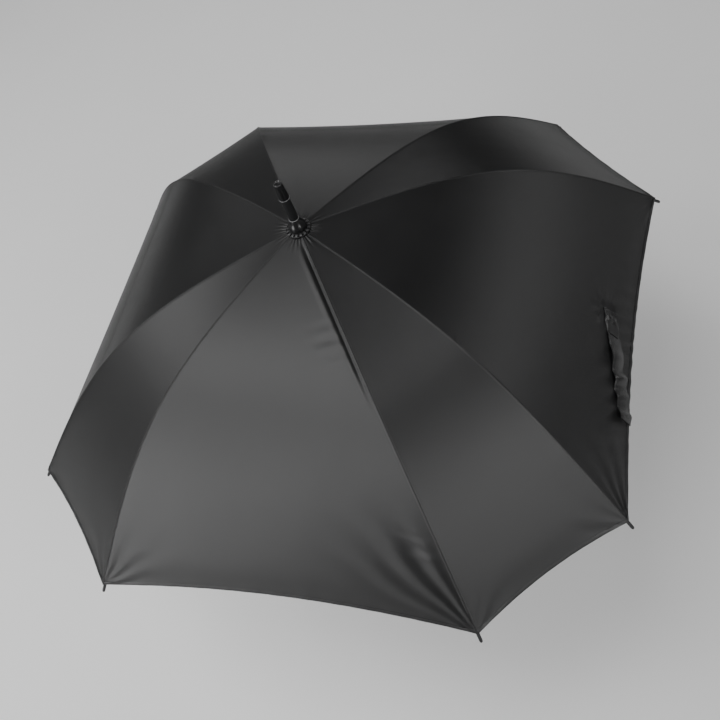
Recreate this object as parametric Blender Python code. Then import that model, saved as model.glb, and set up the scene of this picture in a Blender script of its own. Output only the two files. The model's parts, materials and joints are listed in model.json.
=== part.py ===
"""A golf umbrella with an automatic opening spring, shown open.

Metres, +Z up the shaft. The origin is the centre of the handle's flat bottom face.
Eight ribs stand in four close pairs, so the canopy has four wide and four narrow gores.
"""

import math

import bmesh
import bpy
import numpy as np
from mathutils import Vector

# Driving dimensions
HUB_Z = 0.890  # height of the fabric at the crown
RIB_LENGTH = 0.700  # along the fabric, from the crown to a corner of the hem
CROWN_R = 0.012  # radius at which the fabric begins
CROWN_SLOPE = math.radians(5.56)  # the fabric's fall below level at the crown
TOTAL_TURN = math.radians(41.67)  # how much further it turns down by the hem
JOINT_S = 0.320  # distance along a rib to its joint
BEND_S = 0.339  # distance along a rib at which it bends most
BEND_POWER = 1.18  # how gradually the bend builds up towards there
PAIR_HALF_ANGLE = math.radians(13.31)  # half the angle between the two ribs of a pair
FABRIC = 0.0008  # thickness of a gore's solid
GAP = 0.0003  # clearance between pieces that touch
WIDE_SAG = 0.022  # how far the hem is hollowed between ribs
NARROW_SAG = 0.012

SHAFT_R = 0.0070
SHAFT_WALL = 0.0012
SHAFT_END_R = 0.0079  # the thicker length that shows between the dome and the ferrule cap
BORE_R = SHAFT_R + 0.00035
SLOT_WIDTH = 0.0026

RIB_DROP = 0.0045  # depth of a rib's centre line below the fabric
RIB_R = 0.00175
RIB_END_R = 0.0013
EYE_HALF = 0.0012  # half thickness of the flat eyes in the notch and the runner
TONGUE_HALF = 0.00075  # half thickness of the lapped tongues at a rib's joint
TONGUE_SIDE = 0.00095  # how far such a tongue stands off the rib's plane
LUG = 0.0065  # from a rib's joint down to its stretcher's pivot

RUNNER_DROP = 0.155  # runner's pivots below the crown when open
RUNNER_PIVOT_R = 0.0125
RUNNER_TRAVEL = 0.4842
DRIVE_PIN_DROP = 0.020  # drive pin's middle below the runner's pivots
DRIVE_PIN_HALF = 0.002
PLUNGER_R = 0.0048

FERRULE_RING = 0.0716  # ferrule cap's lower edge above the crown
FERRULE_TOP = 0.1050
FERRULE_SEAT = 0.0800  # depth of the cap's socket, where the shaft ends
DOME_BASE = 0.0034
DOME_TOP = 0.0246
ROSETTE_TEETH = 16
HUB_R = 0.0155  # top notch

HANDLE_TOP = 0.195
COLLAR_BASE = 0.160
CAP_HEIGHT = 0.012
BUTTON_Z = 0.177
BUTTON_Y = -0.0134
WINDOW_HALF_X = 0.0048
WINDOW_HALF_Z = 0.0083

RIVET_R = 0.0022  # radius of the lug's round ends
TIP_R = 0.0027
TIP_BACK = 0.0160  # how far a tip reaches back over its rib from the hem
TIP_FRONT = 0.0175  # and how far it stands out

RING_STEPS = 24


def clear_scene():
    for item in list(bpy.data.objects):
        bpy.data.objects.remove(item, do_unlink=True)


def material(name, colour, roughness, metallic=0.0):
    made = bpy.data.materials.new(name)
    made.use_nodes = True
    shader = made.node_tree.nodes["Principled BSDF"]
    shader.inputs["Base Color"].default_value = (*colour, 1.0)
    shader.inputs["Roughness"].default_value = roughness
    shader.inputs["Metallic"].default_value = metallic
    made.diffuse_color = (*colour, 1.0)
    return made


def add(name, mesh, finish, location=(0, 0, 0), azimuth=0.0, parent=None):
    """One sub-part, with its origin at location and its own +X turned to azimuth."""
    item = bpy.data.objects.new(name, mesh)
    bpy.context.scene.collection.objects.link(item)
    if not mesh.materials:
        mesh.materials.append(finish)
    item.location = location
    item.rotation_euler = (0, 0, azimuth)
    item.parent = parent
    return item


def finished(build, name, smooth=True):
    bmesh.ops.remove_doubles(build, verts=build.verts, dist=1e-7)
    bmesh.ops.recalc_face_normals(build, faces=build.faces)
    mesh = bpy.data.meshes.new(name)
    build.to_mesh(mesh)
    build.free()
    if smooth:
        mesh.shade_smooth()
        mesh.set_sharp_from_angle(angle=math.radians(35))
    return mesh


def cut(target, mesh, operation="DIFFERENCE"):
    """A Boolean with a hidden helper that sits where its target does."""
    helper = bpy.data.objects.new(target.name + "_helper", mesh)
    bpy.context.scene.collection.objects.link(helper)
    helper.location = target.location
    helper.rotation_euler = target.rotation_euler
    helper.parent = target.parent
    helper.hide_render = True
    helper.display_type = "WIRE"
    change = target.modifiers.new(operation.lower(), "BOOLEAN")
    change.operation = operation
    change.solver = "EXACT"
    change.object = helper
    return helper


def turned(name, outline, steps=RING_STEPS, closed=True):
    """A solid of revolution. A closed outline stays off the axis; an open one starts and ends on it."""
    build = bmesh.new()
    points = [build.verts.new((r, 0, z)) for r, z in outline]
    edges = [build.edges.new(pair) for pair in zip(points, points[1:])]
    if closed:
        edges.append(build.edges.new((points[-1], points[0])))
    bmesh.ops.spin(
        build,
        geom=points + edges,
        cent=(0, 0, 0),
        axis=(0, 0, 1),
        angle=2 * math.pi,
        steps=steps,
        use_merge=True,
    )
    bmesh.ops.remove_doubles(build, verts=build.verts, dist=1e-7)
    return finished(build, name)


def bridge(build, first, second):
    for i in range(len(first)):
        j = (i + 1) % len(first)
        build.faces.new((first[i], first[j], second[j], second[i]))


def lofted(name, rings):
    """A closed solid through rings of points, all with the same count, with flat ends."""
    build = bmesh.new()
    loops = [[build.verts.new(point) for point in ring] for ring in rings]
    for first, second in zip(loops, loops[1:]):
        bridge(build, first, second)
    build.faces.new(loops[0])
    build.faces.new(loops[-1])
    return finished(build, name)


def box(build, low, high):
    corners = [
        build.verts.new((x, y, z))
        for x in (low[0], high[0])
        for y in (low[1], high[1])
        for z in (low[2], high[2])
    ]
    for face in ((0, 1, 3, 2), (4, 6, 7, 5), (0, 4, 5, 1), (2, 3, 7, 6), (0, 2, 6, 4), (1, 5, 7, 3)):
        build.faces.new([corners[i] for i in face])


def turn_about_z(build, start, angle):
    """Turns the vertices added since start about +Z."""
    build.verts.ensure_lookup_table()
    moved = [build.verts[i] for i in range(start, len(build.verts))]
    c, s = math.cos(angle), math.sin(angle)
    for vert in moved:
        x, y = vert.co.x, vert.co.y
        vert.co.x = c * x - s * y
        vert.co.y = s * x + c * y


# The canopy's profile: how the fabric runs along a rib


def canopy_profile(count=701):
    """Arc length, radius, height from the crown and slope below level, along a rib."""
    s = np.linspace(0.0, RIB_LENGTH, count)
    rise = np.where(s < BEND_S, s / BEND_S, (RIB_LENGTH - s) / (RIB_LENGTH - BEND_S))
    bend = np.clip(rise, 0.0, 1.0) ** BEND_POWER
    step = s[1] - s[0]
    turn = np.concatenate([[0.0], np.cumsum((bend[1:] + bend[:-1]) / 2 * step)])
    slope = CROWN_SLOPE + turn * TOTAL_TURN / turn[-1]
    middle = (slope[1:] + slope[:-1]) / 2
    r = CROWN_R + np.concatenate([[0.0], np.cumsum(np.cos(middle) * step)])
    z = -np.concatenate([[0.0], np.cumsum(np.sin(middle) * step)])
    return s, r, z, slope


PROFILE = canopy_profile()


def fabric_at(s):
    """Radius, height and slope of the fabric over a rib; past its ends it runs straight on."""
    inside = min(max(s, 0.0), RIB_LENGTH)
    r, z, slope = (float(np.interp(inside, PROFILE[0], row)) for row in PROFILE[1:])
    past = s - inside
    return r + past * math.cos(slope), z - past * math.sin(slope), slope


def below(s, drop):
    """A point this far under the fabric, square to it, as (radius, height)."""
    r, z, slope = fabric_at(s)
    return r - drop * math.sin(slope), z - drop * math.cos(slope)


HINGE = below(0.0, RIB_DROP)
ELBOW = below(JOINT_S, RIB_DROP)
EYE = below(JOINT_S, RIB_DROP + LUG)
RUNNER_PIVOT = (RUNNER_PIVOT_R, -RUNNER_DROP)

PAIR_CENTRES = [math.radians(45 + 90 * i) for i in range(4)]
RIB_AZIMUTHS = [
    centre + side * PAIR_HALF_ANGLE for centre in PAIR_CENTRES for side in (-1, 1)
]


def octagon(r, z, along, half_width, half_height, side=0.0):
    """A ring square to a bar that runs along (dr, dz) in its own XZ plane."""
    length = math.hypot(*along)
    up = (-along[1] / length, along[0] / length)
    flat = math.tan(math.pi / 8)
    shape = [(1, flat), (flat, 1), (-flat, 1), (-1, flat), (-1, -flat), (-flat, -1), (flat, -1), (1, -flat)]
    ring = []
    for across, high in shape:
        lift = high * half_height
        ring.append((r + up[0] * lift, side + across * half_width, z + up[1] * lift))
    return ring


def rib_mesh(name, pivot, stations):
    """A bar under the fabric. Each station is (s, half width, half height, side)."""
    rings = []
    for s, half_width, half_height, side in stations:
        r, z = below(s, RIB_DROP)
        slope = fabric_at(s)[2]
        along = (math.cos(slope), -math.sin(slope))
        rings.append(octagon(r - pivot[0], z - pivot[1], along, half_width, half_height, side))
    return lofted(name, rings)


def capsule(name, first, second, radius, low_y, high_y, sides=10):
    """A flat link with round ends between two points of the XZ plane."""
    angle = math.atan2(second[1] - first[1], second[0] - first[0])
    outline = []
    for centre, start in ((first, angle + math.pi / 2), (second, angle - math.pi / 2)):
        for i in range(sides // 2 + 1):
            turn = start + math.pi * i / (sides // 2)
            outline.append((centre[0] + radius * math.cos(turn), centre[1] + radius * math.sin(turn)))
    rings = [[(x, y, z) for x, z in outline] for y in (low_y, high_y)]
    return lofted(name, rings)


# Finishes

CLOTH = material("cloth", (0.045, 0.046, 0.050), 0.75)
BLACK_GLOSS = material("black_gloss", (0.012, 0.012, 0.013), 0.15)
BLACK_PLASTIC = material("black_plastic", (0.020, 0.020, 0.022), 0.45)
WOVEN_SHAFT = material("woven_shaft", (0.035, 0.035, 0.038), 0.35)
RIB_GLASS = material("rib_glass", (0.030, 0.030, 0.032), 0.40)
SOFT_GRIP = material("soft_grip", (0.025, 0.025, 0.026), 0.80)
STEEL = material("steel", (0.55, 0.55, 0.56), 0.30, 1.0)


# Shaft, crown and spring


def build_shaft():
    base = CAP_HEIGHT + GAP
    top = HUB_Z + FERRULE_SEAT - GAP
    inner = SHAFT_R - SHAFT_WALL
    thick_low, thick_high = HUB_Z + DOME_TOP + GAP, HUB_Z + FERRULE_RING - GAP
    outline = [
        (SHAFT_R, base),
        (SHAFT_R, thick_low),
        (SHAFT_END_R, thick_low),
        (SHAFT_END_R, thick_high),
        (SHAFT_R, thick_high),
        (SHAFT_R, top),
        (inner, top),
        (inner, base),
    ]
    shaft = add("shaft", turned("shaft", outline), WOVEN_SHAFT)
    slot = bmesh.new()
    pin_open = HUB_Z - RUNNER_DROP - DRIVE_PIN_DROP
    high = pin_open + 2 * DRIVE_PIN_HALF
    low = pin_open - RUNNER_TRAVEL - 2 * DRIVE_PIN_HALF
    half = SLOT_WIDTH / 2
    box(slot, (inner - SHAFT_WALL, -half, low), (SHAFT_R + SHAFT_WALL, half, high))
    cut(shaft, finished(slot, "slot", smooth=False))


def build_ferrule_cap():
    """A cup over the shaft's end. The outline starts and ends on the axis."""
    ring, high = FERRULE_RING, FERRULE_TOP
    outline = [
        (0.0, FERRULE_SEAT),
        (BORE_R, FERRULE_SEAT),
        (BORE_R, ring),
        (0.0085, ring),
        (0.0086, ring + 0.0012),
        (0.0083, ring + 0.0080),
        (0.0076, ring + 0.0200),
        (0.0069, high - 0.0020),
        (0.0065, high - 0.0006),
        (0.0058, high),
        (0.0043, high),
        (0.0039, high - 0.0008),
        (0.0, high - 0.0008),
    ]
    add("ferrule_cap", turned("ferrule_cap", outline, closed=False), BLACK_GLOSS, (0, 0, HUB_Z))


def build_crown_dome():
    """A bell: a short neck over broad, rounded shoulders."""
    wall = [
        (0.0137, 0.0),
        (0.0147, 0.0010),
        (0.0150, 0.0028),
        (0.0148, 0.0048),
        (0.0141, 0.0072),
        (0.0130, 0.0096),
        (0.0117, 0.0120),
        (0.0106, 0.0143),
        (0.0098, 0.0165),
        (0.0091, 0.0186),
        (0.0086, 0.0202),
        (0.0083, DOME_TOP - DOME_BASE),
    ]
    outline = [(BORE_R, DOME_BASE)] + [(r, DOME_BASE + rise) for r, rise in wall] + [(BORE_R, DOME_TOP)]
    add("crown_dome", turned("crown_dome", outline), BLACK_GLOSS, (0, 0, HUB_Z))


def build_rosette():
    """A stiff washer over the fabric, with raised radial teeth and a smooth rim."""
    build = bmesh.new()
    rim_r, rim, high, seat_r = 0.0213, 0.0014, 0.0031, 0.0151
    loops = []
    for i in range(4 * ROSETTE_TEETH):
        turn = math.pi * (i - 0.5) / (2 * ROSETTE_TEETH)
        face = 0.0024 if i % 4 < 2 else 0.0009
        ring = [
            (BORE_R, GAP),
            (rim_r, GAP),
            (rim_r, rim - 0.0004),
            (rim_r - 0.0006, rim),
            (rim_r - 0.0014, face),
            (seat_r + 0.0004, face),
            (seat_r, high),
            (BORE_R, high),
        ]
        loops.append([build.verts.new((r * math.cos(turn), r * math.sin(turn), z)) for r, z in ring])
    for first, second in zip(loops, loops[1:] + loops[:1]):
        bridge(build, first, second)
    add("rosette", finished(build, "rosette"), BLACK_PLASTIC, (0, 0, HUB_Z))


def slot_cutter(name, inner, outer, low, high):
    """Eight radial slots, one for each rib or stretcher."""
    build = bmesh.new()
    half = EYE_HALF + GAP
    for azimuth in RIB_AZIMUTHS:
        start = len(build.verts)
        box(build, (inner, -half, low), (outer, half, high))
        turn_about_z(build, start, azimuth)
    return finished(build, name, smooth=False)


def build_top_notch():
    low, high, edge = -0.0115, -0.0020, 0.0006
    outline = [
        (BORE_R, low),
        (HUB_R - 5 * edge, low),
        (HUB_R, low + 4 * edge),
        (HUB_R, high - edge),
        (HUB_R - edge, high),
        (BORE_R, high),
    ]
    notch = add("top_notch", turned("top_notch", outline), BLACK_PLASTIC, (0, 0, HUB_Z))
    floor = HINGE[0] - RIB_R - 2 * GAP
    cut(notch, slot_cutter("notch_slots", floor, 0.020, low - 0.002, high + 0.002))


def build_opening_spring():
    """A long compression spring inside the shaft, from the handle up to the runner's plunger."""
    turns, per_turn, wire, coil_r = 18, 8, 0.00055, 0.0046
    low = CAP_HEIGHT + 0.004
    high = HUB_Z - RUNNER_DROP - 0.030
    steps = turns * per_turn
    rings = []
    for i in range(steps + 1):
        turn = 2 * math.pi * i / per_turn
        centre = Vector((coil_r * math.cos(turn), coil_r * math.sin(turn), low + (high - low) * i / steps))
        outward = Vector((math.cos(turn), math.sin(turn), 0))
        ring = []
        for k in range(4):
            around = math.pi / 2 * k
            ring.append(centre + wire * (math.cos(around) * outward + Vector((0, 0, math.sin(around)))))
        rings.append(ring)
    add("opening_spring", lofted("opening_spring", rings), STEEL)


# Runner and handle


def build_runner():
    """Slides on the shaft. Its origin is at the stretchers' pivots, in the open position."""
    top, lip, bottom = 0.0055, -0.0060, -0.0400
    outline = [
        (BORE_R, top),
        (0.0150, top),
        (0.0158, top - 0.0010),
        (0.0158, lip + 0.0010),
        (0.0150, lip),
        (0.0104, lip - 0.0040),
        (0.0096, lip - 0.0080),
        (0.0096, bottom + 0.0080),
        (0.0106, bottom + 0.0040),
        (0.0106, bottom + 0.0010),
        (0.0098, bottom),
        (BORE_R, bottom),
    ]
    place = (0, 0, HUB_Z - RUNNER_DROP)
    runner = add("runner", turned("runner", outline[::-1]), BLACK_PLASTIC, place)
    cut(runner, slot_cutter("runner_slots", RUNNER_PIVOT_R - 0.0018, 0.020, lip - 0.012, top + 0.002))
    pin = bmesh.new()
    half = SLOT_WIDTH / 2 - GAP
    pin_low, pin_high = -DRIVE_PIN_DROP - DRIVE_PIN_HALF, -DRIVE_PIN_DROP + DRIVE_PIN_HALF
    box(pin, (0.0, -half, pin_low), (0.0090, half, pin_high))
    cut(runner, finished(pin, "drive_pin", smooth=False), "UNION")
    foot, head = pin_low - 0.006, pin_high + 0.002
    plunger = [(0.0, foot), (PLUNGER_R, foot), (PLUNGER_R, head), (0.0, head)]
    cut(runner, turned("plunger", plunger, RING_STEPS // 2, closed=False), "UNION")


def build_handle():
    cap = [
        (0.0, 0.0),
        (0.0145, 0.0),
        (0.0162, 0.0012),
        (0.0166, 0.0030),
        (0.0164, CAP_HEIGHT - 0.0010),
        (0.0158, CAP_HEIGHT),
        (0.0, CAP_HEIGHT),
    ]
    add("handle_end_cap", turned("handle_end_cap", cap, closed=False), BLACK_GLOSS)

    low, high = CAP_HEIGHT + GAP, COLLAR_BASE - GAP
    outline = [(BORE_R, low), (0.0155, low)]
    for i in range(1, 10):
        share = i / 10
        swell = 0.0012 * math.sin(math.pi * share) + 0.0004 * math.cos(6 * math.pi * share)
        outline.append((0.0156 - 0.0026 * share + swell, low + (high - low) * share))
    outline += [(0.0127, high), (BORE_R, high)]
    add("handle_grip", turned("handle_grip", outline), SOFT_GRIP)

    collar_outline = [
        (BORE_R, COLLAR_BASE),
        (0.0128, COLLAR_BASE),
        (0.0134, COLLAR_BASE + 0.0012),
        (0.0132, HANDLE_TOP - 0.0100),
        (0.0118, HANDLE_TOP - 0.0015),
        (0.0108, HANDLE_TOP),
        (BORE_R, HANDLE_TOP),
    ]
    collar = add("handle_collar", turned("handle_collar", collar_outline), BLACK_GLOSS)
    window = bmesh.new()
    box(
        window,
        (-WINDOW_HALF_X, -0.0200, BUTTON_Z - WINDOW_HALF_Z),
        (WINDOW_HALF_X, -0.0060, BUTTON_Z + WINDOW_HALF_Z),
    )
    cut(collar, finished(window, "window", smooth=False))


def build_push_button():
    """A thumb pad in the collar's window. It travels in towards the shaft."""
    build = bmesh.new()
    half_x, half_z = WINDOW_HALF_X - 0.0005, WINDOW_HALF_Z - 0.0005
    box(build, (-half_x, -0.0018, -half_z), (half_x, 0.0030, half_z))
    button = add(
        "push_button",
        finished(build, "push_button", smooth=False),
        BLACK_PLASTIC,
        (0, BUTTON_Y, BUTTON_Z),
    )
    soften = button.modifiers.new("bevel", "BEVEL")
    soften.width = 0.0008
    soften.segments = 2


# Ribs, stretchers and tips


def rib_inner_mesh():
    bar_start, bar_end = 0.013, JOINT_S - 0.016
    flat_end = JOINT_S + 0.0004
    stations = [(-0.0012, EYE_HALF, 0.0009, 0.0), (0.0, EYE_HALF, RIB_R, 0.0), (0.009, EYE_HALF, RIB_R, 0.0)]
    for i in range(7):
        stations.append((bar_start + (bar_end - bar_start) * i / 6, RIB_R, RIB_R, 0.0))
    stations.append((JOINT_S - 0.008, TONGUE_HALF, 0.0019, TONGUE_SIDE))
    stations.append((flat_end, TONGUE_HALF, 0.0019, TONGUE_SIDE))
    return rib_mesh("rib_inner", HINGE, stations)


def rib_outer_mesh():
    bar_start, bar_end = JOINT_S + 0.014, RIB_LENGTH - 0.004
    stations = [
        (JOINT_S - 0.0014, TONGUE_HALF, 0.0010, -TONGUE_SIDE),
        (JOINT_S, TONGUE_HALF, 0.0018, -TONGUE_SIDE),
        (JOINT_S + 0.006, TONGUE_HALF, 0.0018, -TONGUE_SIDE),
    ]
    for i in range(9):
        share = i / 8
        radius = RIB_R + (RIB_END_R - RIB_R) * share
        stations.append((bar_start + (bar_end - bar_start) * share, radius, radius, 0.0))
    return rib_mesh("rib_outer", ELBOW, stations)


def lug_mesh():
    """The plate under a rib's joint that carries the stretcher."""
    low = TONGUE_SIDE - TONGUE_HALF
    to_eye = (EYE[0] - HINGE[0], EYE[1] - HINGE[1])
    to_elbow = (ELBOW[0] - HINGE[0], ELBOW[1] - HINGE[1])
    inset = 0.0001
    high = low + 2 * TONGUE_HALF
    return capsule("lug", to_elbow, to_eye, RIVET_R, low + inset, high - inset)


def stretcher_mesh():
    """From the rib's lug, at its origin, down to the runner."""
    run = (RUNNER_PIVOT[0] - EYE[0], RUNNER_PIVOT[1] - EYE[1])
    length = math.hypot(*run)
    unit = (run[0] / length, run[1] / length)
    stations = [
        (-0.0014, TONGUE_HALF, 0.0010, -TONGUE_SIDE),
        (0.0, TONGUE_HALF, 0.0016, -TONGUE_SIDE),
        (0.0060, TONGUE_HALF, 0.0016, -TONGUE_SIDE),
        (0.0130, 0.0014, 0.0014, 0.0),
        (length - 0.0120, 0.0014, 0.0014, 0.0),
        (length - 0.0080, EYE_HALF, 0.0014, 0.0),
        (length, EYE_HALF, 0.0014, 0.0),
        (length + 0.0010, EYE_HALF, 0.0008, 0.0),
    ]
    rings = []
    for at, half_width, half_height, side in stations:
        rings.append(octagon(unit[0] * at, unit[1] * at, unit, half_width, half_height, side))
    return lofted("stretcher", rings)


def tip_mesh():
    """A capped sleeve over the rib's end. Its origin is the rib's joint, which it moves about."""
    start, floor, end = RIB_LENGTH - TIP_BACK, RIB_LENGTH - 0.0036, RIB_LENGTH + TIP_FRONT
    bore = RIB_END_R + 0.00045
    sides = 12
    outline = [
        (floor, bore),
        (start, bore),
        (start, TIP_R - 0.0005),
        (start + 0.0015, TIP_R),
        (end - 0.0030, TIP_R),
        (end - 0.0010, TIP_R - 0.0006),
        (end, TIP_R - 0.0017),
    ]
    build = bmesh.new()
    loops = []
    for s, radius in outline:
        r, z = below(s, RIB_DROP)
        slope = fabric_at(s)[2]
        loop = []
        for k in range(sides):
            turn = 2 * math.pi * k / sides
            lift = radius * math.sin(turn)
            x = r - ELBOW[0] + math.sin(slope) * lift
            loop.append(build.verts.new((x, radius * math.cos(turn), z - ELBOW[1] + math.cos(slope) * lift)))
        loops.append(loop)
    for first, second in zip(loops, loops[1:]):
        bridge(build, first, second)
    build.faces.new(loops[0])
    build.faces.new(loops[-1])
    return finished(build, "rib_tip")


def placed(pivot, azimuth):
    """A pivot given as (radius, height), in the hub's frame."""
    return (pivot[0] * math.cos(azimuth), pivot[0] * math.sin(azimuth), pivot[1])


def build_frame(hub):
    inner, outer = rib_inner_mesh(), rib_outer_mesh()
    lug, stretcher, tip = lug_mesh(), stretcher_mesh(), tip_mesh()
    for number, azimuth in enumerate(RIB_AZIMUTHS, start=1):
        elbow = placed(ELBOW, azimuth)
        first = add(f"rib_inner_{number}", inner, RIB_GLASS, placed(HINGE, azimuth), azimuth, hub)
        cut(first, lug, "UNION")
        add(f"rib_outer_{number}", outer, RIB_GLASS, elbow, azimuth, hub)
        add(f"rib_tip_{number}", tip, BLACK_PLASTIC, elbow, azimuth, hub)
        add(f"stretcher_{number}", stretcher, BLACK_PLASTIC, placed(EYE, azimuth), azimuth, hub)


# Canopy


def gore_point(s, across, half_angle, depth=0.0):
    """A point of a gore in its own frame: +X down the middle, straight lines from rib to rib.

    across runs from -1 to 1 between the ribs; depth is measured down into the fabric.
    """
    r, z, slope = fabric_at(s)
    middle_slope = math.atan2(math.tan(slope), math.cos(half_angle))
    x = r * math.cos(half_angle) - depth * math.sin(middle_slope)
    reach = x * math.tan(half_angle) - 1.2 * GAP / math.cos(half_angle)
    return Vector((x, across * reach, z - depth * math.cos(middle_slope)))


def gore_mesh(name, half_angle, start, end, columns, rows, origin):
    """A closed sheet of fabric between two ribs; end gives where it stops for each across."""
    build = bmesh.new()
    across = [2 * j / columns - 1 for j in range(columns + 1)]
    layers = []
    for depth in (0.0, FABRIC):
        grid = []
        for i in range(rows + 1):
            line = []
            for t in across:
                s = start + (end(t) - start) * i / rows
                line.append(build.verts.new(gore_point(s, t, half_angle, depth) - origin))
            grid.append(line)
        layers.append(grid)
    for grid in layers:
        for i in range(rows):
            for j in range(columns):
                build.faces.new((grid[i][j], grid[i][j + 1], grid[i + 1][j + 1], grid[i + 1][j]))
    top, under = layers
    for i in range(rows):
        for j in (0, columns):
            build.faces.new((top[i][j], top[i + 1][j], under[i + 1][j], under[i][j]))
    for j in range(columns):
        for i in (0, rows):
            build.faces.new((top[i][j], top[i][j + 1], under[i][j + 1], under[i][j]))
    return finished(build, name)


def gore_pivots(half_angle):
    """Where a gore hinges at the crown, and where its outer half hinges on its inner half."""
    crown = Vector((HINGE[0] * math.cos(half_angle), 0, HINGE[1]))
    r, z, _ = fabric_at(JOINT_S)
    fold = Vector((r * math.cos(half_angle), 0, z))
    return crown, fold


def build_canopy(hub):
    wide = math.pi / 4 - PAIR_HALF_ANGLE
    kinds = (("wide", wide, WIDE_SAG, 0.0), ("narrow", PAIR_HALF_ANGLE, NARROW_SAG, math.pi / 4))
    for kind, half_angle, sag, first_azimuth in kinds:
        crown, fold = gore_pivots(half_angle)

        def hem(t, sag=sag):
            return RIB_LENGTH - sag * (1 - t * t)

        inner = gore_mesh(
            f"gore_{kind}_inner", half_angle, 0.0, lambda t: JOINT_S - GAP, 1, 10, crown
        )
        outer = gore_mesh(f"gore_{kind}_outer", half_angle, JOINT_S + GAP, hem, 8, 7, fold)
        for i in range(4):
            azimuth = first_azimuth + math.pi / 2 * i
            for mesh, pivot, half in ((inner, crown, "inner"), (outer, fold, "outer")):
                place = placed((pivot.x, pivot.z), azimuth)
                add(f"gore_{kind}_{i + 1}_{half}", mesh, CLOTH, place, azimuth, hub)


def build_tie_strap(hub):
    """Lies on the first wide gore: sewn at one end, along the hem, a little askew."""
    half_angle = math.pi / 4 - PAIR_HALF_ANGLE
    fold = gore_pivots(half_angle)[1]
    half_width, low, high = 0.0155, -0.0005, -0.0025
    start, end = Vector((0.612, 0.021)), Vector((0.670, -0.165))
    steps = 12
    rings = []
    for i in range(steps + 1):
        centre = start.lerp(end, i / steps)
        ring = []
        for side, depth in ((-1, low), (1, low), (1, high), (-1, high)):
            s = centre[0] + side * half_width
            point = gore_point(s, 0.0, half_angle, depth)
            point.y = centre[1]
            ring.append(point - fold)
        rings.append(ring)
    add("tie_strap", lofted("tie_strap", rings), CLOTH, (fold.x, 0, fold.z), 0.0, hub)


def main():
    clear_scene()
    hub = bpy.data.objects.new("hub_level", None)
    hub.location = (0, 0, HUB_Z)
    bpy.context.scene.collection.objects.link(hub)
    build_shaft()
    build_ferrule_cap()
    build_crown_dome()
    build_rosette()
    build_top_notch()
    build_opening_spring()
    build_runner()
    build_handle()
    build_push_button()
    build_frame(hub)
    build_canopy(hub)
    build_tie_strap(hub)


main()
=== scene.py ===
"""Looks of the open golf umbrella: cloth, seams, crown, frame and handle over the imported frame."""

import json
import math

import bpy
import numpy as np
from mathutils import Matrix, Vector


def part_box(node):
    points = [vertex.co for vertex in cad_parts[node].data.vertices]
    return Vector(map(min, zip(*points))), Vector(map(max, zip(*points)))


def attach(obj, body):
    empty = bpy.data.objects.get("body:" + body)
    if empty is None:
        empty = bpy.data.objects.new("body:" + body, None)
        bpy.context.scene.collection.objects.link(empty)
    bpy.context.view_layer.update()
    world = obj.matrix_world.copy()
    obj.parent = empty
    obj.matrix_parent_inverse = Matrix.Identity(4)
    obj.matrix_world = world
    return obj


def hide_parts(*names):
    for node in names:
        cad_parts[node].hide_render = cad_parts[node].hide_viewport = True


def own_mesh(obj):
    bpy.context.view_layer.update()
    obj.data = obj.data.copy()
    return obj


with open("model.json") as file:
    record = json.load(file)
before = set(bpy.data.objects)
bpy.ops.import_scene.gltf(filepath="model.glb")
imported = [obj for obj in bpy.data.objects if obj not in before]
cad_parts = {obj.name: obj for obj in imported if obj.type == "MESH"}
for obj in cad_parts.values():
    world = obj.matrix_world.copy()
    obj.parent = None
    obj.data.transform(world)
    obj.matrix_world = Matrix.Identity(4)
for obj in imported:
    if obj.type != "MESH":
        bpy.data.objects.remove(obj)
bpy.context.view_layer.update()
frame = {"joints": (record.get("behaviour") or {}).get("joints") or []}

# ---- places, read from the frame

JOINTS = {joint["name"]: joint for joint in frame["joints"]}
CROWN_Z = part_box("rosette")[0].z - 0.0003
RIB_COUNT = sum(name.startswith("rib_fold_") for name in JOINTS)


def pivot(name):
    """A hinge's distance from the shaft's axis and its height above the crown."""
    x, y, z = JOINTS[name]["pos_m"]
    return math.hypot(x, y), z - CROWN_Z


def azimuth_of(name):
    """The direction of a hinge from the shaft's axis."""
    x, y = JOINTS[name]["pos_m"][:2]
    return math.atan2(y, x) % (2 * math.pi)


RIB_AZIMUTHS = [azimuth_of(f"rib_fold_{i + 1}") for i in range(RIB_COUNT)]
HINGE, ELBOW, EYE = pivot("rib_fold_1"), pivot("rib_bend_1"), pivot("stretcher_fold_1")
RUNNER_TRAVEL = JOINTS["runner_slide"]["range_m"][1]

# The canopy's profile, with the same driving dimensions as the frame
RIB_LENGTH = 0.700
CROWN_R = 0.012
CROWN_SLOPE = math.radians(5.56)
TOTAL_TURN = math.radians(41.67)
JOINT_S = 0.320
BEND_S = 0.339
BEND_POWER = 1.18
RIB_DROP = 0.0045
PAIR_HALF_ANGLE = (RIB_AZIMUTHS[1] - RIB_AZIMUTHS[0]) / 2
WIDE_HALF = math.pi / 4 - PAIR_HALF_ANGLE
CLOTH = 0.0004
SHAFT_R = 0.0070
SHAFT_WALL = 0.0012
SHAFT_END_R = 0.0079  # the thicker length that shows between the dome and the ferrule cap
BORE_R = SHAFT_R + 0.00035  # pieces that sit on the shaft
CORNER_SHARP = 38.0  # degrees, where a carved piece's edges show
RUNNER_DROP = 0.155  # the stretchers' pivots in the runner below the crown, when open
RUNNER_PIVOT_R = 0.0125
DRIVE_PIN_DROP = 0.020  # the pin below those pivots
DRIVE_PIN_HALF = 0.002
SLOT_HALF = 0.0013
NOTCH_SLOT_HALF = 0.0015  # the slots for ribs and stretchers
NOTCH_LOW, NOTCH_HIGH = -0.0115, -0.0020  # top notch, from the crown
DOME_LOW, DOME_HIGH = 0.0034, 0.0246
FERRULE_LOW, FERRULE_HIGH = 0.0716, 0.1050
WIDE_SAG, NARROW_SAG = 0.022, 0.012  # how far the hem is hollowed between ribs
STITCH = 0.0032  # pitch of the sewing


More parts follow.
